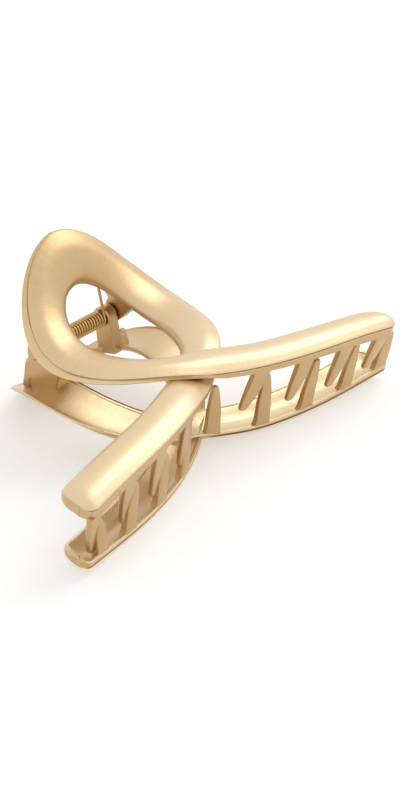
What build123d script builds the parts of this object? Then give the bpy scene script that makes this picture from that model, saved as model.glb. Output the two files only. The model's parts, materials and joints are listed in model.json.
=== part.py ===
from build123d import *
import os
from math import atan2, cos, degrees, exp, radians, sin

# A metal ribbon claw clip, closed, lying on its lower thumb tab and its lower arms.
# Millimetres, +Z up. X runs along the hinge pin, +Y points to the thumb tabs, the combs face -Y.
# Each jaw is one casting. Its ribbon starts at the tip of the thumb tab, runs round a teardrop loop
# on both sides, crosses itself at the neck and ends in two arms with a comb of teeth along each.
# Two lugs under the loop carry the hinge pin.
# The jaws are drawn in the clip's level frame, with the notch between the arms over the origin and
# the hinge on z = 0. The lower jaw is the upper one turned half a turn about Y. At the end the
# whole clip is tipped and lifted to the way it lies on a table.
# loop, in plan
loop_half_width = 22.9      # middle of the clip to the loop's widest point
loop_widest_y = 30.0
loop_fullness = 0.63        # share of the half width that its curves aim for at both ends
loop_neck_pull = 8.5        # how far its curves are drawn out at the neck
loop_front_pull = 12.0      # and before and behind the widest point
loop_back_pull = 9.5
tab_reach = 53.5            # notch to the tip of the thumb tab
hole_half_width = 10.8      # the hole in the loop
hole_widest_y = 30.5
hole_front_fullness = 0.5
hole_back_fullness = 0.6
hole_neck_pull = 3.5
hole_front_pull = 9.0
hole_back_pull = 7.5
hole_near_y = 10.0          # ends of the hole, at the neck and under the thumb tab
hole_far_y = 44.3

# arms, in plan
arm_reach = 59.0            # middle of the clip to the end of an arm's outer edge
arm_sweep = 13.5            # how far that end lies in front of the notch
arm_near_bow = 0.74         # shares of the sweep at the curve's two middle points
arm_far_bow = 0.79
arm_width = 10.2
arm_end_radius = 4.6        # rounding of an arm's end on the loop side
arm_nose_radius = 1.2       # and on the comb side

# heights of the ribbon's outer edge over the hinge plane
neck_height = 10.8          # loop side of the neck
notch_height = 9.9          # comb side of the neck
saddle_height = 6.3         # lowest part of the loop, in front of the hinge
saddle_y = 29.0
tab_height = 22.8           # tip of the thumb tab
neck_level = 8.0            # how far the neck and the saddle keep their heights
saddle_level = 11.0
tab_run = 5.0               # and the slope at the tip of the tab: run and rise
tab_climb = 8.0
arm_height = 10.4           # along the middle of an arm
arm_end_height = 7.9
crossing_rise = 0.8         # one strand passes this much over the middle height, the other under
crossing_spread = 14.0      # how far from the neck the strands are back to one height

# ribbon section
crown = 1.7                 # how far the ribbon's back stands over its edges
crest_share = 0.38          # where across the ribbon the back is highest
back_slope = 0.75           # slope of the back where it leaves the outer edge
edge_drop = 0.6             # the back's inner side rounds over to this far below the edge
rim_depth = 1.5             # how far the rim reaches below the edge
skin = 1.3                  # thickness of the ribbon's back
rim = 1.2                   # thickness of the rim
hollow_drop = 1.3           # the hollow's roof falls this much towards the outer rim
hollow_slope = 0.6
weld = 0.3                  # how far teeth and lugs run into the ribbon's back

# comb teeth: short ones stand on one arm of a jaw, long ones on the other
tooth_thickness = 2.0
tooth_tip_width = 1.7
tooth_tip_round = 0.45      # radius of a tip's corners, as a share of its width
tooth_shoulder = 3.0        # below this depth a tooth tapers
short_tooth_count = 4
short_tooth_start = 12.0    # first short tooth from the middle of the clip
short_tooth_pitch = 13.1
short_tooth_width = 4.4
short_tooth_length = 13.6
short_tooth_lean = 1.2      # tip nearer the middle of the clip than the root
long_tooth_count = 5
long_tooth_start = 2.6
long_tooth_pitch = 13.2
long_tooth_width = 3.9
long_tooth_length = 15.2
long_tooth_lean = 0.3
end_tooth_length = 12.0     # the last tooth of each comb

# hinge
hinge_y = 42.1              # notch to the pin's axis
pin_radius = 1.25
bore_clearance = 0.05       # pin to lug, on the radius
lug_wall = 1.4              # metal round the bore
outer_lug_thickness = 4.2
outer_foot_front = 6.0      # how far a lug reaches before and behind the hinge, at the loop's back
outer_foot_back = 3.0
inner_foot_front = 1.0
inner_foot_back = 3.5
inner_lug_thickness = 3.4
lug_side_gap = 0.35         # between an outer lug and the other jaw's inner lug
head_overhang = 0.65        # pin head beyond the pin, on the radius
head_height = 0.9
head_round = 0.75           # rounding of a head, as a share of its height
head_gap = 0.1              # pin head to outer lug
heel_radius = 2.0           # rounded pad behind each outer lug
heel_offset = 3.2           # hinge to the middle of the pad
heel_depth = 5.2            # middle of the pad below the ribbon's edge

# spring
wire_diameter = 0.8
coil_clearance = 0.25       # pin to the inside of the coil
coil_turns = 20
coil_end_gap = 0.2          # coil to each inner lug
leg_angle = 23.5            # a leg's slope towards the thumb tab, from straight up
leg_end_gap = 0.3           # leg to the inside of the thumb tab

coil_length = coil_turns * wire_diameter
coil_radius = pin_radius + coil_clearance + wire_diameter / 2
inner_lug_start = coil_length / 2 + coil_end_gap
inner_lug_end = inner_lug_start + inner_lug_thickness
outer_lug_start = inner_lug_end + lug_side_gap
outer_lug_end = outer_lug_start + outer_lug_thickness
bore_radius = pin_radius + bore_clearance
lug_radius = bore_radius + lug_wall
head_radius = pin_radius + head_overhang
underside = crown - skin


def bezier(p, t):
    """Point on the cubic curve with the four control points p."""
    s = 1 - t
    weights = (s**3, 3 * s**2 * t, 3 * s * t**2, t**3)
    return tuple(sum(w * q[i] for w, q in zip(weights, p)) for i in range(2))


def solve(rises, target, low=0.0, high=1.0):
    """Where the rising function meets target, by halving."""
    for _ in range(40):
        middle = (low + high) / 2
        if rises(middle) < target:
            low = middle
        else:
            high = middle
    return low


# half of the loop's outer edge and of its hole, in plan: from the neck to the widest place, and on
# to the thumb tab
loop_front = [
    (0, 0),
    (loop_fullness * loop_half_width, loop_neck_pull),
    (loop_half_width, loop_widest_y - loop_front_pull),
    (loop_half_width, loop_widest_y),
]
loop_back = [
    (loop_half_width, loop_widest_y),
    (loop_half_width, loop_widest_y + loop_back_pull),
    (loop_fullness * loop_half_width, tab_reach),
    (0, tab_reach),
]
hole_front = [
    (0, hole_near_y),
    (hole_front_fullness * hole_half_width, hole_near_y + hole_neck_pull),
    (hole_half_width, hole_widest_y - hole_front_pull),
    (hole_half_width, hole_widest_y),
]
hole_back = [
    (hole_half_width, hole_widest_y),
    (hole_half_width, hole_widest_y + hole_back_pull),
    (hole_back_fullness * hole_half_width, hole_far_y),
    (0, hole_far_y),
]
# side profile of both edges, in (y, z), and front profile and plan of an arm's outer edge
height_front = [
    (0, neck_height),
    (neck_level, neck_height),
    (saddle_y - saddle_level, saddle_height),
    (saddle_y, saddle_height),
]
height_back = [
    (saddle_y, saddle_height),
    (saddle_y + saddle_level, saddle_height),
    (tab_reach - tab_run, tab_height - tab_climb),
    (tab_reach, tab_height),
]
third = arm_reach / 3
arm_rise = [(0, notch_height), (third, arm_height), (2 * third, arm_height), (arm_reach, arm_end_height)]
arm_edge = [
    (0, 0),
    (third, -arm_near_bow * arm_sweep),
    (2 * third, -arm_far_bow * arm_sweep),
    (arm_reach, -arm_sweep),
]


def loop_edge_height(y):
    curve = height_front if y < saddle_y else height_back
    return bezier(curve, solve(lambda t: bezier(curve, t)[0], y))[1]


def loop_edges(outer, hole, t):
    """Outer and inner edge points of the loop at t, as (x, y, z)."""
    return tuple(Vector(x, y, loop_edge_height(y)) for x, y in (bezier(outer, t), bezier(hole, t)))


def chord_height(x, y):
    """Height of the straight line across the ribbon, edge to edge, that passes over (x, y)."""

    def crossing(t):
        outer, inner = loop_edges(loop_back, hole_back, t)
        return outer + (inner - outer) * ((outer.X - x) / (outer.X - inner.X))

    last = solve(lambda t: -bezier(loop_back, t)[0], -x)
    return crossing(solve(lambda t: crossing(t).Y, y, high=last)).Z


def arm_frame(t):
    """Place, direction and inward normal at the share t of an arm's outer edge."""
    along = Vector(*bezier(arm_edge, t + 0.01)) - Vector(*bezier(arm_edge, t - 0.01))
    along = along.normalized()
    place = Vector(*bezier(arm_edge, t), bezier(arm_rise, t)[1])
    return place, along, Vector(-along.Y, along.X)


def strand_edges():
    """Outer and inner edge points of one strand: thumb tab, loop on -X, neck, arm on +X."""
    edges = []
    for outer, hole in ((loop_back, hole_back), (loop_front, hole_front)):
        for t in (1.0, 0.75, 0.5, 0.25):
            edges.append([Vector(-p.X, p.Y, p.Z) for p in loop_edges(outer, hole, t)])
    for t in (0.0, 0.2, 0.4, 0.6, 0.8, 1.0):
        place, along, across = arm_frame(t)
        edges.append([place, place + across * arm_width])
    return edges


def strand_planes(rise):
    """Section planes along a strand, each with the ribbon's width there. X runs inwards, Y up."""
    middles = []
    lifted = []
    for outer, inner in strand_edges():
        middle = (outer + inner) / 2
        away = Vector(middle.X, middle.Y - hole_near_y / 2).length
        lift = Vector(0, 0, rise * exp(-((away / crossing_spread) ** 2)))
        lifted.append((outer + lift, inner + lift))
        middles.append(middle + lift)
    planes = []
    for i, (outer, inner) in enumerate(lifted):
        ahead = middles[min(i + 1, len(middles) - 1)]
        behind = middles[max(i - 1, 0)]
        along = ahead - behind if i else Vector(-1, 0, 0)
        across = (inner - outer).normalized()
        along = along - across * along.dot(across)
        planes.append((Plane(origin=outer, x_dir=across, z_dir=along), (inner - outer).length))
    return planes


def ribbon_section(width, hollow):
    """Section of the ribbon, outer edge at the origin: domed back, rims, and a hollow below."""
    crest = crest_share * width
    with BuildSketch() as section:
        with BuildLine():
            Spline((0, 0), (crest, crown), (width, -edge_drop), tangents=[(1, back_slope), (0, -1)])
            Line((width, -edge_drop), (width, -rim_depth))
            if hollow:
                Polyline((width, -rim_depth), (width - rim, -rim_depth), (width - rim, -edge_drop))
                Spline(
                    (width - rim, -edge_drop),
                    (crest, underside),
                    (rim, underside - hollow_drop),
                    tangents=[(0, 1), (-1, -hollow_slope)],
                )
                Polyline((rim, underside - hollow_drop), (rim, -rim_depth), (0, -rim_depth))
            else:
                Line((width, -rim_depth), (0, -rim_depth))
            Line((0, -rim_depth), (0, 0))
        make_face()
    return section.sketch


def arm_end_plan():
    """Plan that keeps all of a strand, but rounds the two corners of its arm's end."""
    margin = 0.3
    sheet = 2 * arm_reach
    frames = [arm_frame(t) for t in (0.7, 0.85, 1.0)]
    outer = [place - across * margin for place, along, across in frames]
    inner = [place + across * (arm_width + margin) for place, along, across in frames]
    outer = [(p.X, p.Y) for p in outer]
    inner = [(p.X, p.Y) for p in inner]
    with BuildSketch() as plan:
        with BuildLine():
            Spline(*outer)
            Line(outer[-1], inner[-1])
            Spline(*inner[::-1])
            Line(inner[0], outer[0])
        make_face()
        fillet(plan.vertices().sort_by_distance((*inner[-1], 0))[0], arm_end_radius)
        fillet(plan.vertices().sort_by_distance((*outer[-1], 0))[0], arm_nose_radius)
        with Locations((outer[0][0] - sheet / 2 + margin, 0)):
            Rectangle(sheet, sheet)
    return plan.sketch


def tooth_plane(x, side):
    """Plane on an arm's outer face at x, facing out, with its Y axis up."""
    place, along, across = arm_frame(x / arm_reach)
    return Plane(
        origin=(side * place.X, place.Y, place.Z),
        x_dir=(along.X, side * along.Y, 0),
        z_dir=(-side * across.X, -across.Y, 0),
    )


def tooth_profile(width, length, shift):
    """Outline of a tooth that hangs from an arm, with its tip moved sideways by shift."""
    root = underside + weld
    tip = tooth_tip_width / 2
    with BuildSketch() as profile:
        with BuildLine():
            Polyline(
                (-width / 2, root),
                (width / 2, root),
                (width / 2, -tooth_shoulder),
                (shift + tip, -length),
                (shift - tip, -length),
                (-width / 2, -tooth_shoulder),
                close=True,
            )
        make_face()
        fillet(profile.vertices().sort_by(Axis.Y)[:2], tooth_tip_round * tooth_tip_width)
    return profile.sketch


def hull_round(circles):
    """Hull around circles given as (y, z, radius), in side view."""
    with BuildSketch() as shape:
        for y, z, radius in circles:
            with Locations((y, z)):
                Circle(radius)
        make_hull()
    return shape.sketch


def lug_foot(x, y):
    """Small circle in the thickness of the loop's back over (x, y), where a lug's sides end."""
    return y, chord_height(x, y) + underside, weld


def lug_profile(x, feet, heel):
    """Side view of a lug at x: a bored eye on the pin, widening up to the loop's back."""
    with BuildSketch() as profile:
        add(hull_round([(hinge_y, 0, lug_radius)] + [lug_foot(x, y) for y in feet]))
        if heel:
            y = hinge_y + heel_offset
            pad = (y, loop_edge_height(y) - heel_depth, heel_radius)
            add(hull_round([pad, lug_foot(x, y - heel_radius), lug_foot(x, feet[-1])]))
        with Locations((hinge_y, 0)):
            Circle(bore_radius, mode=Mode.SUBTRACT)
    return profile.sketch


def strand(rise):
    """One strand of the ribbon, with its arm on +X, lifted by rise at the neck."""
    planes = strand_planes(rise)
    with BuildPart() as part:
        for plane, width in planes:
            with BuildSketch(plane):
                add(ribbon_section(width, hollow=True))
        loft()
        with BuildSketch(planes[-1][0]):
            add(ribbon_section(arm_width, hollow=False))
        extrude(amount=-rim)
        with BuildSketch():
            add(arm_end_plan())
        extrude(amount=tab_height + crown, mode=Mode.INTERSECT)
    return part.part


# side of the clip, count, first tooth, pitch, width, length and lean of each comb
short_comb = (
    1,
    short_tooth_count,
    short_tooth_start,
    short_tooth_pitch,
    short_tooth_width,
    short_tooth_length,
    short_tooth_lean,
)
long_comb = (
    -1,
    long_tooth_count,
    long_tooth_start,
    long_tooth_pitch,
    long_tooth_width,
    long_tooth_length,
    long_tooth_lean,
)

with BuildPart() as jaw:
    add(strand(crossing_rise))
    mirror(strand(-crossing_rise), about=Plane.YZ)
    # combs
    for side, count, start, pitch, width, length, lean in (short_comb, long_comb):
        for i in range(count):
            reach = end_tooth_length if i == count - 1 else length
            with BuildSketch(tooth_plane(start + i * pitch, side)):
                add(tooth_profile(width, reach, -side * lean))
            extrude(amount=-tooth_thickness)
    # lugs: the outer one on +X, the inner one on -X
    outer_lug_x = (outer_lug_start + outer_lug_end) / 2
    inner_lug_x = (inner_lug_start + inner_lug_end) / 2
    with BuildSketch(Plane.YZ.offset(outer_lug_start)):
        add(lug_profile(outer_lug_x, (hinge_y - outer_foot_front, hinge_y + outer_foot_back), heel=True))
    extrude(amount=outer_lug_thickness)
    with BuildSketch(Plane.YZ.offset(-inner_lug_end)):
        add(lug_profile(inner_lug_x, (hinge_y - inner_foot_front, hinge_y + inner_foot_back), heel=False))
    extrude(amount=inner_lug_thickness)

# hinge pin with a round head formed at each end
pin_end = outer_lug_end + head_gap
with BuildPart() as pin:
    with BuildSketch(Plane.YZ.offset(-pin_end)):
        with Locations((hinge_y, 0)):
            Circle(pin_radius)
    extrude(amount=2 * pin_end)
    for start in (-pin_end - head_height, pin_end):
        with BuildSketch(Plane.YZ.offset(start)):
            with Locations((hinge_y, 0)):
                Circle(head_radius)
        extrude(amount=head_height)
    outer_edges = pin.edges().filter_by(GeomType.CIRCLE).sort_by(Axis.X)
    fillet([outer_edges[0], outer_edges[-1]], head_round * head_height)

# torsion spring: closely wound coil round the pin, and a leg from each end to a thumb tab
leg_x = coil_length / 2 - wire_diameter / 2
lean = radians(leg_angle)
leg_start = Vector(leg_x, hinge_y - coil_radius * cos(lean), coil_radius * sin(lean))
leg_way = Vector(0, sin(lean), cos(lean))


def leg_clear(length):
    """How far the leg's tip is above the underside of the back, less the gap it keeps."""
    tip = leg_start + leg_way * length
    return tip.Z - chord_height(leg_x, tip.Y) - underside + wire_diameter / 2 + leg_end_gap


leg_length = solve(leg_clear, 0, lug_radius, tab_height)
with BuildPart() as spring:
    with BuildSketch():
        with Locations((0, hinge_y + coil_radius)):
            Rectangle(coil_length - wire_diameter, wire_diameter / 2)
            with GridLocations(wire_diameter, 1, coil_turns, 1):
                Circle(wire_diameter / 2)
    revolve(axis=Axis((0, hinge_y, 0), (1, 0, 0)))
    for side in (1, -1):
        start = Vector(side * leg_start.X, leg_start.Y, side * leg_start.Z)
        way = Vector(0, leg_way.Y, side * leg_way.Z)
        with BuildSketch(Plane(origin=start, z_dir=way)):
            Circle(wire_diameter / 2)
        extrude(amount=leg_length)

# rest pose: tipped until the lower thumb tab and the lower arms' backs touch the table
arm_crest_y = crest_share * arm_width - 0.5 * arm_sweep
rest_tilt = degrees(atan2(tab_height - arm_height - crown, tab_reach - arm_crest_y))
lower = jaw.part.rotate(Axis.Y, 180)
tipped = Compound([jaw.part, lower]).rotate(Axis.X, rest_tilt).bounding_box()
middle_y = (tipped.min.Y + tipped.max.Y) / 2
rest = Location((0, -middle_y, -tipped.min.Z)) * Location((0, 0, 0), (rest_tilt, 0, 0))

os.makedirs("parts", exist_ok=True)

with BuildPart() as upper_jaw:
    add(jaw.part.moved(rest))
upper_jaw.part.label = "upper_jaw"
export_step(upper_jaw.part, "parts/upper_jaw.step")

with BuildPart() as lower_jaw:
    add(lower.moved(rest))
lower_jaw.part.label = "lower_jaw"
export_step(lower_jaw.part, "parts/lower_jaw.step")

with BuildPart() as hinge_pin:
    add(pin.part.moved(rest))
hinge_pin.part.label = "hinge_pin"
export_step(hinge_pin.part, "parts/hinge_pin.step")

with BuildPart() as torsion_spring:
    add(spring.part.moved(rest))
torsion_spring.part.label = "torsion_spring"
export_step(torsion_spring.part, "parts/torsion_spring.step")
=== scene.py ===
import json
import bpy
import bmesh
import numpy as np
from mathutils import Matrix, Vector


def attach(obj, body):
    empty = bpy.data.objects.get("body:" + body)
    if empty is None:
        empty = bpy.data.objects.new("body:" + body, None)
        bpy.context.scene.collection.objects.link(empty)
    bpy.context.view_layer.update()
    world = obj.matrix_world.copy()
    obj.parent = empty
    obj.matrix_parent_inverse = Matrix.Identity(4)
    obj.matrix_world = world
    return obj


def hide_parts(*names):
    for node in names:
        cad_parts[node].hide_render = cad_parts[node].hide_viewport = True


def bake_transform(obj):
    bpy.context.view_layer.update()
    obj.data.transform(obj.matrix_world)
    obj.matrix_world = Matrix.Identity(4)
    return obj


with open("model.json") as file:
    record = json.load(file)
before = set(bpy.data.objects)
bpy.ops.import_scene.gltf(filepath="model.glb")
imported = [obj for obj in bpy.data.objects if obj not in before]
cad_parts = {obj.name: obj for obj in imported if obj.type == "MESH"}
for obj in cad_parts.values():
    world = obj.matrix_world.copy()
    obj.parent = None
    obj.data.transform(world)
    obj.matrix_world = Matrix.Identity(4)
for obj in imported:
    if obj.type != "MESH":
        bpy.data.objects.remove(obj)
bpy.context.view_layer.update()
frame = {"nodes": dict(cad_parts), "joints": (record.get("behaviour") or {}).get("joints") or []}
print("frame loaded")

# Lengths are in mm and are drawn in the clip's own level frame: the notch between the arms is the
# origin, X runs along the hinge pin, +Y to the thumb tabs, and the pin's axis is at z = 0.
mm = 0.001
lay = {"tilt": 10.747, "hingeY": 42.1}  # degrees that the closed clip is tipped; notch to hinge
hingePlace = np.array(frame["joints"][0]["pos_m"]) / mm


# row = turnX(tilt) (p - hinge) + hinge's place
def toRow(p):
    a = np.radians(lay["tilt"])
    turn = np.array([[1, 0, 0], [0, np.cos(a), -np.sin(a)], [0, np.sin(a), np.cos(a)]])
    return (np.asarray(p, float) - [0, lay["hingeY"], 0]) @ turn.T + hingePlace


# half turn about Y, which makes the lower jaw's points from the upper's: (x, y, z) to (-x, y, -z)
def halfTurn(p):
    return np.asarray(p, float) * [-1, 1, -1]


# cubic with control points p0..p3: (1-t)^3 p0 + 3t(1-t)^2 p1 + 3t^2(1-t) p2 + t^3 p3
def bezier(points, t):
    p = np.asarray(points, float)
    t = np.asarray(t, float)[..., None]
    s = 1 - t
    return s**3 * p[0] + 3 * t * s**2 * p[1] + 3 * t**2 * s * p[2] + t**3 * p[3]


# natural cubic spline through values at knots: second derivatives from one linear system, then
# the usual cubic on each span, evaluated for all of x at once
def spline(knots, values, x):
    h = np.diff(knots)
    n = len(knots)
    a = np.zeros((n, n))
    b = np.zeros((n, values.shape[1]))
    i = np.arange(1, n - 1)
    a[0, 0] = a[-1, -1] = 1
    a[i, i - 1] = h[:-1]
    a[i, i] = 2 * (h[:-1] + h[1:])
    a[i, i + 1] = h[1:]
    slope = np.diff(values, axis=0) / h[:, None]
    b[1:-1] = 6 * np.diff(slope, axis=0)
    m = np.linalg.solve(a, b)
    k = np.clip(np.searchsorted(knots, x) - 1, 0, n - 2)
    u = (x - knots[k])[:, None]
    v = (knots[k + 1] - x)[:, None]
    d = h[k][:, None]
    return (
        m[k] * v**3 / (6 * d)
        + m[k + 1] * u**3 / (6 * d)
        + (values[k] / d - m[k] * d / 6) * v
        + (values[k + 1] / d - m[k + 1] * d / 6) * u
    )


# rings (n, m, 3) of points, each ring closed: quads between neighbours, ends closed by a face.
# Faces come in groups, one array for each number of corners.
def ringMesh(rings):
    n, m = rings.shape[:2]
    i, j = np.meshgrid(np.arange(n - 1), np.arange(m), indexing="ij")
    k = (j + 1) % m
    quads = np.stack([i * m + j, i * m + k, (i + 1) * m + k, (i + 1) * m + j], -1).reshape(-1, 4)
    ends = np.stack([np.arange(m)[::-1], (n - 1) * m + np.arange(m)])
    return rings.reshape(-1, 3), (quads, ends)


# rings closed both ways, like a torus: quads between neighbours, the last ring's being the first
def torusMesh(rings):
    n, m = rings.shape[:2]
    i, j = np.meshgrid(np.arange(n), np.arange(m), indexing="ij")
    k, after = (j + 1) % m, (i + 1) % n
    quads = np.stack([i * m + j, i * m + k, after * m + k, after * m + j], -1).reshape(-1, 4)
    return rings.reshape(-1, 3), (quads,)


# one object from several closed shells, in the row frame and in metres: the shells' points and
# faces one after another, doubles merged, normals outwards, edges above the sharp angle kept
def makePiece(name, shells, material, sharp=35, uvs=None):
    faces = []
    base = 0
    for shellPoints, shellFaces in shells:
        for group in shellFaces:
            faces += (base + group).tolist()
        base += len(shellPoints)
    mesh = bpy.data.meshes.new(name)
    allPoints = toRow(np.concatenate([points for points, _ in shells])) * mm
    mesh.from_pydata(allPoints.tolist(), [], faces)
    if uvs is not None:
        pad = np.zeros((len(allPoints) - len(uvs), 2))  # teeth and lugs take the map's origin
        perPoint = np.concatenate([uvs, pad])
        layer = mesh.uv_layers.new(name="along")
        corner = np.zeros(len(mesh.loops), np.int32)
        mesh.loops.foreach_get("vertex_index", corner)
        layer.data.foreach_set("uv", perPoint[corner].astype(np.float32).ravel())
    work = bmesh.new()
    work.from_mesh(mesh)
    bmesh.ops.remove_doubles(work, verts=work.verts, dist=1e-7)
    bmesh.ops.recalc_face_normals(work, faces=work.faces)
    work.to_mesh(mesh)
    work.free()
    mesh.shade_smooth()
    mesh.set_sharp_from_angle(angle=np.radians(sharp))
    piece = bpy.data.objects.new(name, mesh)
    bpy.context.scene.collection.objects.link(piece)
    piece.data.materials.append(material)
    return piece


# sRGB hex to linear: c / 12.92 for dark values, else ((c + 0.055) / 1.055) to the power 2.4
def hexColor(code):
    c = np.array([int(code[i : i + 2], 16) for i in (1, 3, 5)]) / 255
    return (*np.where(c <= 0.04045, c / 12.92, ((c + 0.055) / 1.055) ** 2.4), 1.0)


# a node with its settings, and links into its inputs
def addNode(tree, kind, settings=None, links=None):
    node = tree.nodes.new(kind)
    for key, value in (settings or {}).items():
        if isinstance(key, str) and hasattr(node, key):
            setattr(node, key, value)
        else:
            node.inputs[key].default_value = value
    for key, source in (links or {}).items():
        if source is not None:
            tree.links.new(source, node.inputs[key])
    return node


# an empty node material and its tree
def newMaterial(name):
    material = bpy.data.materials.new(name)
    material.use_nodes = True
    material.node_tree.nodes.clear()
    return material, material.node_tree


# Champagne-gold plating on a zinc casting, brushed across the ribbon and lacquered satin: the
# brush lines widen highlights across themselves and give the face a silky, slightly cloudy tone.
brushedGold = {
    "color": "#E2CAA3",  # on the arms' backs
    "shade": "#C5A26E",  # painted shade on walls, teeth and lugs, and towards the tab
    "paintedShadeReach": (12.0, 52.0),  # mm from the tab over which the back's painted shade gives way to the colour
    "paintedShadeAtTab": 0.35,  # share of the colour that the back has at the tab, the rest being painted shade
    "paintedShadeLevelRange": (0.1, 0.6),  # upright to level: size of the normal's z over which the painted shade on upright faces turns to the back's colour
    # share of the colour on upright faces, the rest being painted shade
    "paintedShadeOnWalls": 0.1,
    "cloudSize": 12.0,
    "toneSwing": 0.4,
    "lacquer": 0.5,
    "lacquerRoughness": 0.35,
    "roughness": 0.37,
    "roughnessSpread": 0.12,
    "lineSpacing": 0.55,  # mm; real lines are nearer 0.1 and wouldn't show
    "lineLength": 9.0,
    "lineDepth": 0.05,
    "lineStrength": 0.8,
}


# lines: noise on the ribbon's own map (mm along, mm across), drawn out along it. The share of the
# colour over the painted shade is the map of the distance from the tab, times the map of how level
# the face is, plus lines and clouds swinging it up and down. The painted shade stands in for the
# darker surroundings that the back near the tab and the upright faces reflect. Roughness and bump
# follow the lines.
def makeBrushedGold(name, s):
    material, tree = newMaterial(name)
    place = addNode(tree, "ShaderNodeUVMap", {"uv_map": "along"})
    stretch = addNode(
        tree,
        "ShaderNodeMapping",
        {"Scale": (1 / s["lineSpacing"], 1 / s["lineLength"], 1)},
        {"Vector": place.outputs["UV"]},
    )
    lines = addNode(
        tree,
        "ShaderNodeTexNoise",
        {"Scale": 1.0, "Detail": 3.0, "Roughness": 0.6},
        {"Vector": stretch.outputs["Vector"]},
    )
    where = addNode(tree, "ShaderNodeTexCoord")
    clouds = addNode(
        tree,
        "ShaderNodeTexNoise",
        {"Scale": 1 / (s["cloudSize"] * mm), "Detail": 2.0},
        {"Vector": where.outputs["Object"]},
    )
    along = addNode(tree, "ShaderNodeSeparateXYZ", None, {0: place.outputs["UV"]})
    far = addNode(tree, "ShaderNodeMath", {"operation": "ABSOLUTE"}, {0: along.outputs[0]})
    # painted shade: the back's colour falls to the shade towards the tab
    near, bright = s["paintedShadeReach"]
    paintedTabShade = addNode(
        tree,
        "ShaderNodeMapRange",
        {1: near, 2: bright, 3: s["paintedShadeAtTab"], 4: 1.0},
        {0: far.outputs[0]},
    )
    # painted shade: upright faces, such as walls, teeth and lugs, take the shade colour
    facing = addNode(tree, "ShaderNodeSeparateXYZ", None, {0: where.outputs["Normal"]})
    level = addNode(tree, "ShaderNodeMath", {"operation": "ABSOLUTE"}, {0: facing.outputs[2]})
    upright, lying = s["paintedShadeLevelRange"]
    flat = addNode(
        tree,
        "ShaderNodeMapRange",
        {1: upright, 2: lying, 3: s["paintedShadeOnWalls"], 4: 1.0},
        {0: level.outputs[0]},
    )
    base = addNode(
        tree,
        "ShaderNodeMath",
        {"operation": "MULTIPLY"},
        {0: paintedTabShade.outputs[0], 1: flat.outputs[0]},
    )
    noise = addNode(tree, "ShaderNodeMix", None, {2: clouds.outputs["Fac"], 3: lines.outputs["Fac"]})
    swing = addNode(
        tree,
        "ShaderNodeMapRange",
        {3: -s["toneSwing"], 4: s["toneSwing"]},
        {0: noise.outputs[0]},
    )
    blend = addNode(
        tree,
        "ShaderNodeMath",
        {"operation": "ADD", "use_clamp": True},
        {0: base.outputs[0], 1: swing.outputs[0]},
    )
    tone = addNode(
        tree,
        "ShaderNodeMix",
        {"data_type": "RGBA", 6: hexColor(s["shade"]), 7: hexColor(s["color"])},
        {0: blend.outputs[0]},
    )
    rough = addNode(
        tree,
        "ShaderNodeMapRange",
        {3: s["roughness"] - s["roughnessSpread"], 4: s["roughness"] + s["roughnessSpread"]},
        {0: lines.outputs["Fac"]},
    )
    bump = addNode(
        tree,
        "ShaderNodeBump",
        {"Strength": s["lineStrength"], "Distance": s["lineDepth"] * mm},
        {"Height": lines.outputs["Fac"]},
    )
    metal = addNode(
        tree,
        "ShaderNodeBsdfPrincipled",
        {"Metallic": 1.0, "Coat Weight": s["lacquer"], "Coat Roughness": s["lacquerRoughness"]},
        {
            "Base Color": tone.outputs[2],
            "Roughness": rough.outputs[0],
            "Normal": bump.outputs["Normal"],
        },
    )
    addNode(tree, "ShaderNodeOutputMaterial", None, {"Surface": metal.outputs[0]})
    return material


# Gold-flashed music wire: bright drawn steel under a thin gold plate, darker and glossier
# than the castings, with faint drawing marks. The pin is plated steel, a little duller.
springWire = {
    "color": "#D2B178",
    "shade": "#BE985E",
    "roughness": 0.2,
    "roughnessSpread": 0.05,
    "grain": 0.6,  # mm
}
pinPlate = {
    "color": "#D2B07C",
    "shade": "#C39C66",
    "roughness": 0.26,
    "roughnessSpread": 0.05,
    "grain": 0.8,
}


# one noise of the grain's size mixes shade and colour, and moves the roughness up and down
def makePolished(name, s):
    material, tree = newMaterial(name)
    where = addNode(tree, "ShaderNodeTexCoord")
    grain = addNode(
        tree,
        "ShaderNodeTexNoise",
        {"Scale": 1 / (s["grain"] * mm), "Detail": 2.0},
        {"Vector": where.outputs["Object"]},
    )
    tone = addNode(
        tree,
        "ShaderNodeMix",
        {"data_type": "RGBA", 6: hexColor(s["shade"]), 7: hexColor(s["color"])},
        {0: grain.outputs["Fac"]},
    )
    rough = addNode(
        tree,
        "ShaderNodeMapRange",
        {3: s["roughness"] - s["roughnessSpread"], 4: s["roughness"] + s["roughnessSpread"]},
        {0: grain.outputs["Fac"]},
    )
    metal = addNode(
        tree,
        "ShaderNodeBsdfPrincipled",
        {"Metallic": 1.0},
        {"Base Color": tone.outputs[2], "Roughness": rough.outputs[0]},
    )
    addNode(tree, "ShaderNodeOutputMaterial", None, {"Surface": metal.outputs[0]})
    return material


castGold = makeBrushedGold("brushedChampagneGold", brushedGold)
wireGold = makePolished("goldFlashedWire", springWire)
pinGold = makePolished("platedPin", pinPlate)
print("materials made")

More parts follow.
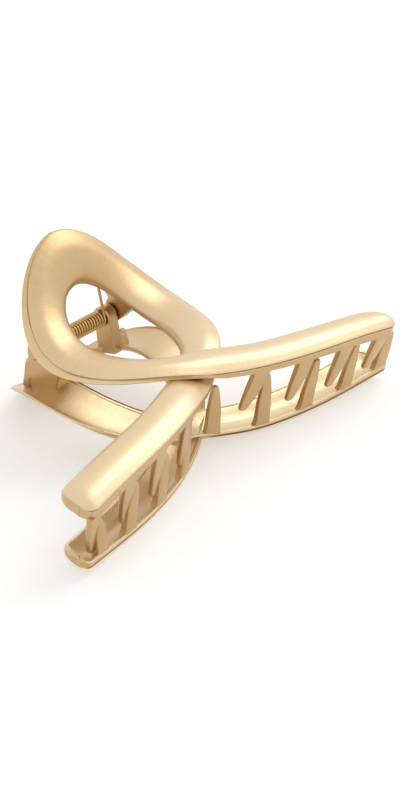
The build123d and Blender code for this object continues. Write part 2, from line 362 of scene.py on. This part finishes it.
# A strand runs round half of the loop and out along one arm. The strand over the crossing and the
# one under it differ a little, as they do on the clip: pairs are (over, under).
ribbon = {
    "loopHalfWidth": (22.9, 23.3),
    "loopWidestY": 30.0,
    "tabReach": 53.5,
    "neckFullness": (0.63, 0.72),
    "backFullness": (0.63, 0.70),
    "neckPull": 8.5,  # how far the outer curves are drawn out at the neck, and at the widest point
    "frontPull": 12.0,
    "backPull": 9.5,
    "holeHalfWidth": 10.8,
    "holeWidestY": 30.5,
    "holeNearY": 10.0,
    "holeFarY": 44.3,
    "holeFullness": (0.5, 0.6),  # front, back
    "holeNeckPull": 3.5,
    "holeFrontPull": 9.0,
    "holeBackPull": 7.5,
    "armSpan": 57.0,  # length of the arm's curve, which runs on to armReach
    "armReach": {"upper": (57.9, 58.3), "lower": (58.8, 59.6)},
    "armSweep": (15.0, 13.8),
    "armBow": (0.74, 0.79),  # shares of the sweep at the curve's two middle points
    "neckWidth": 9.9,
    "endWidth": (8.4, 10.0),
    "neckHeight": 10.8,
    "notchHeight": 9.9,
    "saddleHeight": 6.3,
    "saddleY": 29.0,
    "tabHeight": 22.8,
    "neckRun": 8.0,  # level stretch of the edges at the neck, and on both sides of the saddle
    "saddleRun": 11.0,
    "tabRun": 5.0,  # last stretch to the tab, along y and up
    "tabClimb": 8.0,
    "armHeight": 10.4,
    "armEndHeight": 7.7,
    "crossingRise": {"upper": (0.15, -2.7), "lower": (0.1, -0.3)},
    "crossingSpread": 9.0,
    "crossingCrown": 0.55,  # share of the crown that the dipped strand keeps there
    "crown": 1.6,
    "crestShare": 0.44,
    "shoulder": 0.9,  # the back's inner side rounds over to this far below the edge
    "innerDepth": {"upper": 1.7, "lower": 1.0},  # the hole side's rim reaches this far down
    "loopDepth": 1.35,  # and the bevel round the loop, which stands out by bevelOut at its widest
    "bevelOut": 2.0,
    "bevelMiddleY": 33.0,
    "bevelSpread": 17.0,
    "noseDepth": 2.9,
    "skin": {"upper": 1.1, "lower": 1.8},
    "rim": 0.95,
    "groove": 0.45,
    "armRun": 60.0,  # mm before an end over which the comb's wall deepens
    "armBlend": 12.0,  # over the first 1 / armBlend of it the loop's section turns to the arm's
    "wallPower": 1.2,
    "armRimDepth": 1.7,
    "underBevel": 0.8,  # share of the bevel on the side that goes under the crossing
    "noseReach": 9.0,  # mm before an end over which the rim deepens to the nose's wall
    "noseWallReach": 2.5,
    "fullWall": 3.6,  # wall depth for which the nose has its full depth
    "skewReach": 14.0,  # mm before an end over which it runs on towards the loop's side
    # depth of the comb side's wall, near the crossing and at the arm's end
    "wallDepth": {"upper": (2.0, 3.4), "lower": (1.0, 1.9)},
    # length and width of the rounding at an arm's end, comb side
    "combCorner": {"upper": (2.8, 3.4), "lower": (1.6, 2.4)},
    # and on the loop side: length, squareness, and how far the end runs on
    "noses": {
        "upper": ((8.8, 2.1, 0.2), (4.2, 3.2, 1.0)),
        "lower": ((4.2, 3.0, 1.4), (5.0, 2.6, 1.0)),
    },
    "noseRounding": 4.5,
    "step": 0.8,
    "endSteps": 26,
    "backSteps": 13,
}


# loop's outer edge and hole of one strand, half of the loop, in plan: two cubics each, from the
# neck to the widest point and from there to the tab
def loopCurves(r, which):
    half, wide, tab = r["loopHalfWidth"][which], r["loopWidestY"], r["tabReach"]
    neck, full = r["neckFullness"][which] * half, r["backFullness"][which] * half
    hole, holeY, near, far = r["holeHalfWidth"], r["holeWidestY"], r["holeNearY"], r["holeFarY"]
    holeNeck, holeFull = (share * hole for share in r["holeFullness"])
    outerFront = [(0, 0), (neck, r["neckPull"]), (half, wide - r["frontPull"]), (half, wide)]
    outerBack = [(half, wide), (half, wide + r["backPull"]), (full, tab), (0, tab)]
    holeBow = (holeNeck, near + r["holeNeckPull"])
    holeFront = [(0, near), holeBow, (hole, holeY - r["holeFrontPull"]), (hole, holeY)]
    holeBack = [(hole, holeY), (hole, holeY + r["holeBackPull"]), (holeFull, far), (0, far)]
    return (outerBack, holeBack), (outerFront, holeFront)


# height of the loop's edges over y: two cubics in (y, z), read off at y
def edgeHeight(r, y):
    t = np.linspace(0, 1, 200)
    neck, low, saddle, tab = r["neckHeight"], r["saddleHeight"], r["saddleY"], r["tabReach"]
    top, run = r["tabHeight"], r["saddleRun"]
    slope = (tab - r["tabRun"], top - r["tabClimb"])
    front = bezier([(0, neck), (r["neckRun"], neck), (saddle - run, low), (saddle, low)], t)
    back = bezier([(saddle, low), (saddle + run, low), slope, (tab, top)], t)
    both = np.concatenate([front, back[1:]])
    return np.interp(y, both[:, 0], both[:, 1])


# an arm's outer edge at the distance x from the middle: place, inward normal and direction. Plan
# and rise are cubics in t = x / armSpan, and the direction is the difference across t.
def armEdge(r, which, x):
    third = r["armSpan"] / 3
    sweep = r["armSweep"][which]
    nearBow, farBow = r["armBow"]
    plan = [(0, 0), (third, -nearBow * sweep), (2 * third, -farBow * sweep), (3 * third, -sweep)]
    high, end = r["armHeight"], r["armEndHeight"]
    rise = [(0, r["notchHeight"]), (third, high), (2 * third, high), (3 * third, end)]
    t = np.asarray(x, float) / r["armSpan"]
    p = bezier(plan, t)
    d = bezier(plan, t + 0.01) - bezier(plan, t - 0.01)
    d /= np.linalg.norm(d, axis=-1, keepdims=True)
    flat = 0 * d[..., :1]
    place = np.concatenate([p, bezier(rise, t)[..., 1:]], -1)
    inward = np.concatenate([-d[..., 1:], d[..., :1], flat], -1)
    return place, inward, np.concatenate([d, flat], -1)


# outer and inner edge points of one strand, tab to arm's end, drawn with the loop on -X and the
# arm on +X; near the neck it is lifted by rise exp(-(distance / spread)^2)
def strandKeys(r, which, jaw):
    steps = np.array([1.0, 0.75, 0.5, 0.25])
    halves = loopCurves(r, which)
    plan = np.concatenate([np.stack([bezier(o, steps), bezier(h, steps)], 1) for o, h in halves])
    loop = np.concatenate([plan * [-1, 1], edgeHeight(r, plan[..., 1])[..., None]], -1)
    share = np.array([0.0, 0.2, 0.4, 0.6, 0.8, 1.0])
    place, inward, _ = armEdge(r, which, share * r["armReach"][jaw][which])
    width = r["neckWidth"] + (r["endWidth"][which] - r["neckWidth"]) * share
    keys = np.concatenate([loop, np.stack([place, place + inward * width[:, None]], 1)])
    middle = keys.mean(1)
    away = np.hypot(middle[:, 0], middle[:, 1] - r["holeNearY"] / 2)
    rise = r["crossingRise"][jaw][which]
    keys[..., 2] += rise * np.exp(-((away / r["crossingSpread"]) ** 2))[:, None]
    return keys


# edge points of the whole ribbon, from the end of the arm on -X, under the crossing, round the
# loop's +X side, the tab, its -X side and over the crossing to the arm on +X
def ribbonKeys(r, jaw):
    over = strandKeys(r, 0, jaw)
    under = strandKeys(r, 1, jaw) * [-1, 1, 1]
    return np.concatenate([under[:0:-1], over])


# frames along the ribbon at distances s from its middle: outer edge, across, up, width, and how
# far s is from the nearer end
def ribbonFrames(s, keys):
    middle = keys.mean(1)
    knots = np.concatenate([[0], np.cumsum(np.linalg.norm(np.diff(middle, axis=0), axis=1))])
    half = knots[-1] / 2
    flat = keys.reshape(len(keys), 6)
    at = spline(knots, flat, s + half)
    ahead = spline(knots, flat, np.clip(s + 0.05, -half, half) + half)
    behind = spline(knots, flat, np.clip(s - 0.05, -half, half) + half)
    outer, inner = at[:, :3], at[:, 3:]
    along = (ahead - behind).reshape(-1, 2, 3).mean(1)
    width = np.linalg.norm(inner - outer, axis=1, keepdims=True)
    across = (inner - outer) / width
    up = np.cross(across, along)
    up *= np.sign(up[:, 2:])
    up /= np.linalg.norm(up, axis=1, keepdims=True)
    return outer, across, up, width[:, 0], half - np.abs(s)


# what a rounding of length a and width b takes off at the distance e from the end:
# b (1 - (1 - (1 - e/a)^p)^(1/p)), an ellipse for p = 2 and squarer above. Known fault: at the very
# end e is 0 give or take rounding, and the power 1/p makes up to 0.0002 mm of that. Two runs can then
# cut an arm's end face into different triangles.
def cornerCut(a, b, e, p=2):
    return b * (1 - (1 - np.clip(1 - e / a, 0, 1) ** p) ** (1 / p))


# points (across, up) of a section, one column per ring, from pairs of numbers or arrays
def sectionPoints(pairs, count):
    full = np.zeros(count)
    return np.stack([np.stack([full + u, full + w], -1) for u, w in pairs], 1)


# distances of the rings from the ribbon's middle: even steps, and finer ones over the ends'
# rounding, which close up as 1 - sin does
def ribbonStations(r, half, longest):
    fine = longest * (1 - np.sin(np.linspace(0, np.pi / 2, r["endSteps"])))
    side = np.concatenate([np.arange(0, half - longest, r["step"]), half - fine])
    return np.concatenate([-side[:0:-1], side])


# height of the back over its edges: the crown, closing in a quarter ellipse at the ends, and on the
# upper jaw's dipped strand lowered near the crossing by exp(-(distance / spread)^2)
def crownHeights(r, jaw, s, e, outer):
    crown = r["crown"] * np.sqrt(1 - np.clip(1 - e / r["noseRounding"], 0, 1) ** 2 * 0.98)
    if jaw == "upper":
        away = np.hypot(outer[:, 0], outer[:, 1] - 1)
        low = (1 - r["crossingCrown"]) * np.exp(-((away / r["crossingSpread"]) ** 2))
        crown *= 1 - np.where(s < 0, low, 0)
    return crown


# the outside of the sections, between their sides lo and hi: from the wall's foot over the bevel,
# the groove and the crease, two cubics up to the crest and down again, and the hole side's rim
def outerSections(r, lo, hi, out, wall, deep, crown, onArm, e):
    c, sh = r["crestShare"], r["shoulder"]
    t = np.linspace(0, 1, r["backSteps"])[1:]
    rise = bezier([(0.02, 0.1), (0.16, 0.5), (c - 0.2, 1), (c, 1)], t)
    fall = bezier([(c, 1), (c + 0.3, 1), (1, 0.5), (1, -sh / r["crown"])], t)
    curve = np.concatenate([rise, fall])
    back = np.stack([lo[:, None] + np.outer(hi - lo, curve[:, 0]), np.outer(crown, curve[:, 1])], -1)
    back[..., 1] = np.where(curve[:, 1] < 0, curve[:, 1] * r["crown"], back[..., 1])
    g = r["groove"] * onArm * np.clip(e / 2, 0, 1)
    foot = [
        (lo - out + 0.35, -wall),
        (lo - out, -wall + 0.3),
        (lo + 0.12 * onArm - 0.55 * out, -0.6 * wall - 0.05),
        (lo + 0.12 * onArm - 0.2 * out, -0.42),
        (lo + 0.12 * onArm + g, -0.40),
        (lo + 0.10 * onArm + g, -0.16),
        (lo, -0.08),
        (lo, -0.02),
        (lo + 0.06, 0.05),
    ]
    rimSide = [(hi, -(sh + 0.3)), (hi - 0.04, -deep + 0.3), (hi - 0.3, -deep)]
    return np.concatenate([sectionPoints(foot, len(lo)), back, sectionPoints(rimSide, len(lo))], 1)


# the inside, from the rim back to the wall's foot: a cubic up to the roof under the crest, and one
# down again, each scaled between its own foot and the roof
def innerSections(r, lo, span, wall, deep, roof):
    top = r["crestShare"] + 0.04
    t = np.linspace(0, 1, r["backSteps"])
    up = bezier([(1, 0), (0.82, 0.36), (top + 0.22, 0.88), (top, 1)], t)
    down = bezier([(top, 1), (top - 0.24, 1), (0.03, 0.7), (0, 0)], t[1:])
    shape = np.concatenate([up, down])
    foot = np.stack([-deep + 0.25] * len(up) + [-wall + 0.2] * len(down), 1)
    under = np.stack(
        [lo[:, None] + np.outer(span, shape[:, 0]), foot + (roof[:, None] - foot) * shape[:, 1]], -1
    )
    before = sectionPoints([(lo + span + 0.15, -deep)], len(lo))
    after = sectionPoints([(lo - 0.15, -wall)], len(lo))
    return np.concatenate([before, under, after], 1)


# section points (u, w) at their frames: outer edge + u across + w up, moved along by skew u
def placeSections(outer, across, up, chain, skew):
    placed = outer[:, None] + across[:, None] * chain[..., :1] + up[:, None] * chain[..., 1:]
    return placed + np.cross(up, across)[:, None] * (skew[:, None] * chain[..., 0])[..., None]


# the ribbon as one closed shell: each ring is an outer chain of section points and an inner one,
# which lies on frames that stop one rim short of the ends. Depths go from the loop's to the arm's
# with arm^wallPower, and both sides close at the ends by cornerCut.
def ribbonShell(r, jaw):
    keys = ribbonKeys(r, jaw)
    depths = r["wallDepth"][jaw]
    ends = r["noses"][jaw]
    half = np.linalg.norm(np.diff(keys.mean(1), axis=0), axis=1).sum() / 2
    s = ribbonStations(r, half, max(end[0] for end in ends))
    outer, across, up, width, e = ribbonFrames(s, keys)
    corner = np.where(s > 0, ends[0][0], ends[1][0])
    square = np.where(s > 0, ends[0][1], ends[1][1])
    push = np.where(s > 0, ends[0][2], -ends[1][2])
    skew = push * np.clip(1 - e / r["skewReach"], 0, 1) ** 1.5 / width
    arm = np.clip((np.abs(s) - half + r["armRun"]) / r["armRun"], 0, 1)
    onArm = np.clip(arm * r["armBlend"], 0, 1)
    near = np.clip(1 - e / r["noseReach"], 0, 1)
    nose = near**2 * (3 - 2 * near)
    out = r["bevelOut"] * np.exp(-(((outer[:, 1] - r["bevelMiddleY"]) / r["bevelSpread"]) ** 2))
    out *= (1 - onArm) * np.where(s > 0, 1, r["underBevel"])
    wall = depths[0] + (depths[1] - depths[0]) * arm ** r["wallPower"]
    wall = r["loopDepth"] + (wall - r["loopDepth"]) * onArm
    wall += (np.minimum(wall, r["noseDepth"]) - wall) * np.clip(1 - e / r["noseWallReach"], 0, 1)
    deep = r["innerDepth"][jaw] + (r["armRimDepth"] - r["innerDepth"][jaw]) * onArm
    deep += (r["noseDepth"] * depths[1] / r["fullWall"] - deep) * nose
    combLong, combWide = r["combCorner"][jaw]
    lo = cornerCut(combLong, combWide, e)
    hi = width - cornerCut(corner, width - combWide - 0.3, e, square)
    crown = crownHeights(r, jaw, s, e, outer)
    chain = outerSections(r, lo, hi, out, wall, deep, crown, onArm, e)
    outside = placeSections(outer, across, up, chain, skew)
    rim = r["rim"]
    outerIn, acrossIn, upIn, widthIn, eIn = ribbonFrames(s * (half - rim) / half, keys)
    inset = eIn - rim
    loIn = cornerCut(combLong - 0.3, combWide, inset) + rim - out
    hiIn = widthIn - cornerCut(corner - rim, widthIn - combWide - 0.3 - rim, inset, square) - rim
    spanIn = np.maximum(hiIn - loIn, 0.3)
    chainIn = innerSections(r, loIn, spanIn, wall, deep, crown - r["skin"][jaw])
    inside = placeSections(outerIn, acrossIn, upIn, chainIn, skew)
    rings = np.concatenate([outside, inside], 1)
    sides = np.concatenate([chain[..., 0], chainIn[..., 0]], 1)
    uv = np.stack([np.broadcast_to(s[:, None], sides.shape), sides], -1)
    return ringMesh(rings), uv.reshape(-1, 2)


comb = {
    "thickness": 1.9,
    "lean": (1.1, 0.1),  # the short and the long teeth's tips lean this far in under the ribbon
    "rows": 30,
    # centre and half width at the root, then centre and half width of the tip, and length below
    # the crease. Known fault: in the closed clip the upper jaw's long teeth and the lower jaw's short
    # ones run into each other on -X, by up to 2.4 mm, and one pair of teeth touches on +X.
    "short": {
        "upper": [
            (12.5, 2.1, 9.7, 0.95, 14.4),
            (25.5, 2.1, 23.4, 0.95, 15.2),
            (39.4, 2.1, 36.9, 0.95, 15.0),
            (52.7, 2.0, 50.2, 0.9, 13.0),
        ],
        "lower": [
            (13.8, 2.1, 11.6, 0.95, 13.1),
            (26.8, 2.1, 25.3, 0.95, 13.9),
            (40.7, 2.0, 38.8, 0.95, 13.7),
            (52.0, 1.8, 52.9, 0.9, 10.9),
        ],
    },
    "long": {
        "upper": [
            (16.0, 1.9, 15.0, 0.85, 16.6),
            (29.7, 1.9, 29.3, 0.85, 16.2),
            (42.4, 1.9, 41.8, 0.85, 15.4),
            (55.3, 1.6, 54.6, 0.9, 14.3),
        ],
        "lower": [
            (2.6, 1.8, 1.4, 0.75, 15.4),
            (16.0, 1.8, 14.9, 0.85, 16.4),
            (29.7, 1.8, 30.9, 0.85, 15.6),
            (43.7, 1.8, 45.4, 0.85, 14.2),
            (56.2, 1.8, 58.2, 1.0, 12.2),
        ],
    },
    "rootSink": 0.6,  # a tooth starts this far up inside the wall
    "bulge": 0.5,
    "flare": 0.6,  # fillet at the root, and the length over which it fades
    "flareFade": 1.1,
    "thinning": 0.2,
    "edge": 0.35,
    "tipRounding": 0.45,
    "standOff": 0.13,  # from the wall's outer face
}


# rounded rectangle with half sizes a, b and corner radius k, as m points: the corner's centre plus
# k times the direction
def roundedBox(a, b, k, m=24):
    q = (np.arange(m) + 0.5) / m * 2 * np.pi
    way = np.stack([np.cos(q), np.sin(q)], -1)
    size = np.stack(np.broadcast_arrays(a, b), -1)[..., None, :]
    corner = np.asarray(k, float)[..., None, None]
    return np.sign(way) * (size - corner) + corner * way


# a tooth: rounded-box sections from inside the wall down to the tip. Its half width goes from root
# to tip with a bulge sin(pi h) on the way and a fillet exp(-fall / fade) at the root, and closes in
# a half circle at the tip. Near the crossing it starts as far up or down as its strand lies there.
def toothShell(r, c, tooth, which, depth, side, jaw):
    root, halfWidth, tip, tipHalf, length = tooth
    h = np.linspace(0, 1, c["rows"]) ** 0.8
    start = depth - c["rootSink"]
    fall = start + (length - start) * h
    left = np.clip((length - fall) / tipHalf, 0, 1)
    roundTip = np.sqrt(np.clip(1 - (1 - left) ** 2, 0.0009, 1))
    taper = halfWidth + (tipHalf - halfWidth) * h + c["bulge"] * np.sin(np.pi * h)
    a = (taper + c["flare"] * np.exp(-(fall - start) / c["flareFade"]) * (1 - h)) * roundTip
    b = c["thickness"] / 2 * (1 - c["thinning"] * h) * roundTip
    edge = np.minimum(c["edge"], 0.9 * np.minimum(a, b)) + c["tipRounding"] * b * h
    section = roundedBox(a, b, edge)
    x = root + (tip - root) * h**1.2
    place, inward, along = armEdge(r, which, x)
    dip = r["crossingRise"][jaw][which] * np.exp(-((root / r["crossingSpread"]) ** 2))
    place[:, 2] = armEdge(r, which, root)[0][2] + dip - fall
    lean = c["thickness"] / 2 + c["lean"][which] * h**1.3 + c["standOff"]
    centre = place + inward * lean[:, None]
    rings = centre[:, None] + along[:, None] * section[..., :1] + inward[:, None] * section[..., 1:]
    rings[..., 0] *= side
    return ringMesh(rings)


lugs = {
    "radius": 2.7,
    "bore": 1.3,
    "inner": (8.2, 11.6),
    "outer": (11.95, 16.15),
    "bevel": 0.3,
    "heel": (1.5, 4.9, 1.9),  # rounded pad behind the hinge: y and z from the pin, radius
    "outerFeet": (-7.8, -0.4),  # where the lugs meet the loop's back, along y from the pin
    "outerShoulder": 1.0,  # the lower jaw's outer lug has an upright front edge to this height
    "innerFeet": {"upper": (-0.8, 3.2), "lower": (-5.8, -1.0)},
    "buttress": (11.6, 14.2),
    "stem": (-3.4, 4.6, 0.8),  # the buttress's foot: y and z from the pin, radius
    "buttressSink": 0.5,
    "heelTop": (1.9, 1.0, 1.5),  # the pad's upper end: y from the pin, depth below the edge, radius
    "heelInset": (0.2, 0.1),
    "heelBevel": 0.8,
    "footRise": 0.3,  # feet end this far above the loop's edges, inside the ribbon
    "footRadius": 0.4,
}


# outline of the hull of circles (y, z, radius): in each direction, the furthest point of the
# circle that reaches furthest
def hullOutline(circles, m=96):
    q = np.arange(m) / m * 2 * np.pi
    way = np.stack([np.cos(q), np.sin(q)], -1)
    circles = np.asarray(circles, float)
    reach = circles[:, :2] @ way.T + circles[:, 2:]
    k = reach.argmax(0)
    return circles[k, :2] + circles[k, 2:] * way, way


# a slab between x0 and x1 with that outline and bevelled rims, bored at (hingeY, 0) if bore > 0
def slabShell(circles, x0, x1, bevel, bore=0.0):
    outline, way = hullOutline(circles)
    small = outline - bevel * way
    rows = [(x0, small), (x0 + bevel, outline), (x1 - bevel, outline), (x1, small)]
    if bore:
        hole = [lay["hingeY"], 0] + bore * way
        rows += [(x1, hole), (x0, hole)]
    rings = np.stack([np.concatenate([np.full((len(p), 1), x), p], 1) for x, p in rows])
    return torusMesh(rings) if bore else ringMesh(rings)


# the outer lug on +X with its heel, and the inner lug on -X, on the lower jaw with a buttress. Each
# is the hull of the eye round the pin and of small circles inside the ribbon's edge.
def lugShells(r, g, jaw):
    y = lay["hingeY"]
    rise, foot = g["footRise"], g["footRadius"]
    eye = (y, 0, g["radius"])
    outer = [(y + q, edgeHeight(r, y + q) + rise, foot) for q in g["outerFeet"]]
    inner = [(y + q, edgeHeight(r, y + q) + rise, foot) for q in g["innerFeet"][jaw]]
    heel = (y + g["heel"][0], g["heel"][1], g["heel"][2])
    topY, topDepth, topRadius = g["heelTop"]
    heelTop = (y + topY, edgeHeight(r, y + topY) - topDepth, topRadius)
    if jaw == "lower":
        outer.append((y + g["outerFeet"][0], g["outerShoulder"], foot))
    x0, x1 = g["outer"]
    i0, i1 = g["inner"]
    b0, b1 = g["buttress"]
    near, far = g["heelInset"]
    stem = (y + g["stem"][0], g["stem"][1], g["stem"][2])
    shells = [
        slabShell([eye] + outer, x0, x1, g["bevel"], g["bore"]),
        slabShell([heel, heelTop], x0 + near, x1 - far, g["heelBevel"]),
        slabShell([eye] + inner, -i1, -i0, g["bevel"], g["bore"]),
    ]
    if jaw == "lower":
        shells.append(slabShell([stem] + inner, -b1, -b0 + g["buttressSink"], g["bevel"]))
    return shells


# ribbon, combs and lugs of one jaw; a tooth starts just inside the wall's foot, whose depth grows
# from the crossing to the arm's end with (distance / armRun)^wallPower
def jawShells(jaw):
    near, far = ribbon["wallDepth"][jaw]
    body, uv = ribbonShell(ribbon, jaw)
    shells = [body]
    for which, side, teeth in ((0, 1, comb["short"][jaw]), (1, -1, comb["long"][jaw])):
        for tooth in teeth:
            depth = near + (far - near) * (tooth[0] / ribbon["armRun"]) ** ribbon["wallPower"]
            shells.append(toothShell(ribbon, comb, tooth, which, depth, side, jaw))
    return shells + lugShells(ribbon, lugs, jaw), uv


upperShells, upperUv = jawShells("upper")
upperJaw = makePiece("upperJawCasting", upperShells, castGold, uvs=upperUv)
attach(upperJaw, "upper")
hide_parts("upper_jaw")
lowerShells, lowerUv = jawShells("lower")
lowerShells = [(halfTurn(p), f) for p, f in lowerShells]
lowerJaw = makePiece("lowerJawCasting", lowerShells, castGold, uvs=lowerUv)
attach(lowerJaw, "lower")
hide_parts("lower_jaw")
print("jaws made")

spring = {
    "length": 15.9,
    "wire": 0.76,
    "middle": 3.8,  # diameter of the coil along the middle of its wire
    "turns": 16,
    "lean": 23.5,  # the legs' slope towards the tabs
    "reach": 14.3,
    "pointsPerTurn": 28,
    "blendInset": 1.0,  # the coil twists between points this far in from its ends
}


# one wire: straight leg, helix y = hingeY + R cos a, z = R sin a with x falling evenly, straight leg
def springPath(g):
    lean = np.radians(g["lean"])
    radius = g["middle"] / 2
    x0 = (g["length"] - g["wire"]) / 2
    u = np.linspace(0, 1, g["turns"] * g["pointsPerTurn"])
    a = np.pi - lean + 2 * (lean + np.pi * g["turns"]) * u
    coil = np.stack([x0 * (1 - 2 * u), lay["hingeY"] + radius * np.cos(a), radius * np.sin(a)], -1)
    way = np.array([0, np.sin(lean), np.cos(lean)])
    far = np.linspace(1, 0.02, 24)[:, None] * g["reach"]
    return np.concatenate([coil[0] + far * way, coil, coil[-1] + far[::-1] * way * [1, 1, -1]])


# round tube of radius k along a path: two normals from the path's direction and the X axis
def tubeShell(path, k, m=12):
    along = np.gradient(path, axis=0)
    along /= np.linalg.norm(along, axis=1, keepdims=True)
    one = np.cross(along, [1.0, 0, 0])
    one /= np.linalg.norm(one, axis=1, keepdims=True)
    two = np.cross(along, one)
    q = np.arange(m) / m * 2 * np.pi
    rings = path[:, None] + k * (np.cos(q)[:, None] * one[:, None] + np.sin(q)[:, None] * two[:, None])
    return ringMesh(rings)


wire = tubeShell(springPath(spring), spring["wire"] / 2)
springPiece = makePiece("torsionSpringWire", [wire], wireGold)
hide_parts("torsion_spring")
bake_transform(springPiece)
pin = frame["nodes"]["hinge_pin"]
pin.data.materials.clear()
pin.data.materials.append(pinGold)
print("spring and pin made")

studio = {
    "azimuth": -51.03,
    "elevation": 29.42,
    "distance": 456.57,
    "aimRight": -1.145,
    "aimUp": 1.845,
    "lens": 85.44,
    # metres, size and watts of the softbox
    "lampPlace": (0.62, -0.1, 0.7),
    "lampAim": (0, 0, 0.02),
    "lampSize": (0.6, 0.6),
    "lampPower": 2.0,
    "floorHalf": 6,
    "floorGrey": 0.85,
    "floorLift": 0.36,  # glow that brings the floor to white, for the camera and in reflections
    "skyLight": 0.68,  # what the sky gives to the clip and the floor; where it is seen it is 1
}


# camera looking down at the clip from its front left: notch between the arms + right and up
# offsets - distance times the viewing direction
def makeCamera(s):
    turn, rise = np.radians(s["azimuth"]), np.radians(s["elevation"])
    right = np.array([np.cos(turn), np.sin(turn), 0])
    ahead = np.array([-np.sin(turn) * np.cos(rise), np.cos(turn) * np.cos(rise), -np.sin(rise)])
    up = np.cross(right, ahead)
    notch = toRow([0, 0, 0])
    place = notch + right * s["aimRight"] + up * s["aimUp"] - ahead * s["distance"]
    data = bpy.data.cameras.new("studioCamera")
    data.lens = s["lens"]
    data.sensor_width = 36
    data.clip_start = 0.01
    data.clip_end = 20
    camera = bpy.data.objects.new("studioCamera", data)
    camera.location = place * mm
    camera.rotation_euler = (np.pi / 2 - rise, 0, turn)
    bpy.context.scene.collection.objects.link(camera)
    bpy.context.scene.camera = camera


makeCamera(studio)


# a rectangular lamp whose -Z axis points from its place to its aim
def areaLight(name, place, aim, size, power):
    data = bpy.data.lights.new(name, "AREA")
    data.shape = "RECTANGLE"
    data.size, data.size_y = size
    data.energy = power
    lamp = bpy.data.objects.new(name, data)
    lamp.location = place
    direction = np.array(aim) - np.array(place)
    lamp.rotation_euler = Vector(direction).to_track_quat("-Z", "Y").to_euler()
    bpy.context.scene.collection.objects.link(lamp)


areaLight("softboxRight", studio["lampPlace"], studio["lampAim"], studio["lampSize"], studio["lampPower"])


# larger of two outputs, as a node
def largerOf(tree, one, two):
    return addNode(tree, "ShaderNodeMath", {"operation": "MAXIMUM"}, {0: one, 1: two})


floorMesh = bpy.data.meshes.new("floor")
q = studio["floorHalf"]
floorMesh.from_pydata([(-q, -q, 0), (q, -q, 0), (q, q, 0), (-q, q, 0)], [], [(0, 1, 2, 3)])
floor = bpy.data.objects.new("floor", floorMesh)
bpy.context.scene.collection.objects.link(floor)
floorMaterial, tree = newMaterial("paleFloor")  # matt paper sweep
rays = addNode(tree, "ShaderNodeLightPath")
seen = largerOf(tree, rays.outputs["Is Camera Ray"], rays.outputs["Is Glossy Ray"])
lift = addNode(
    tree,
    "ShaderNodeMath",
    {"operation": "MULTIPLY", 1: studio["floorLift"]},
    {0: seen.outputs[0]},
)
grey = studio["floorGrey"]
paper = addNode(tree, "ShaderNodeBsdfDiffuse", {"Color": (grey, grey, grey, 1)})
glow = addNode(tree, "ShaderNodeEmission", {"Color": (1, 1, 1, 1)}, {"Strength": lift.outputs[0]})
both = addNode(tree, "ShaderNodeAddShader", None, {0: paper.outputs[0], 1: glow.outputs[0]})
addNode(tree, "ShaderNodeOutputMaterial", None, {"Surface": both.outputs[0]})
floorMesh.materials.append(floorMaterial)

world = bpy.data.worlds.new("studioWorld")
bpy.context.scene.world = world
world.use_nodes = True
tree = world.node_tree
tree.nodes.clear()
rays = addNode(tree, "ShaderNodeLightPath")
seen = largerOf(tree, rays.outputs["Is Camera Ray"], rays.outputs["Is Glossy Ray"])
clear = largerOf(tree, seen.outputs[0], rays.outputs["Is Transmission Ray"])
level = addNode(tree, "ShaderNodeMapRange", {3: studio["skyLight"], 4: 1.0}, {0: clear.outputs[0]})
sky = addNode(tree, "ShaderNodeBackground", {"Color": (1, 1, 1, 1)}, {"Strength": level.outputs[0]})
addNode(tree, "ShaderNodeOutputWorld", None, {"Surface": sky.outputs[0]})
bpy.context.scene.view_settings.view_transform = "Standard"
print("studio made")
